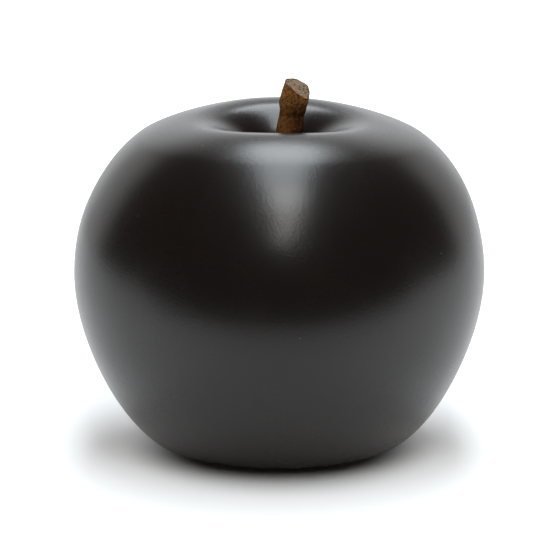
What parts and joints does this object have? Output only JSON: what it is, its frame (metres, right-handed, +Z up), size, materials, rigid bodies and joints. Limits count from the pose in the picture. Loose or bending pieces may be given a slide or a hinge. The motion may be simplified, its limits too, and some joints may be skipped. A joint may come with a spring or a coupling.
{
  "type": "ornamental apple",
  "caption": "Hollow glazed ceramic apple ornament, with a pull-out wooden twig as its stem and felt pads under its base.",
  "frame": {"origin": "on the surface it stands on, under the middle of the apple", "axes": "+Z up along the axis of the apple, +X the way the stem leans, -Y the side seen from the front"},
  "size_m": [0.12, 0.12, 0.1084],
  "materials": {
    "black_glaze": "satin black glaze with a fine orange-peel surface",
    "cork": "natural agglomerated cork",
    "twig_wood": "rough brown bark with a pale cut end",
    "felt": "dark grey felt"
  },
  "bodies": {
    "apple": {"apple_body": "black_glaze", "stem_cork": "cork", "felt_pad_1": "felt", "felt_pad_2": "felt", "felt_pad_3": "felt", "felt_pad_4": "felt"},
    "stem": {"stem_twig": "twig_wood"}
  },
  "joints": [
    {"name": "stem_pull", "type": "slide", "parent": "apple", "child": "stem", "axis": [0, 0, 1], "range_m": [0, 0.05]}
  ]
}
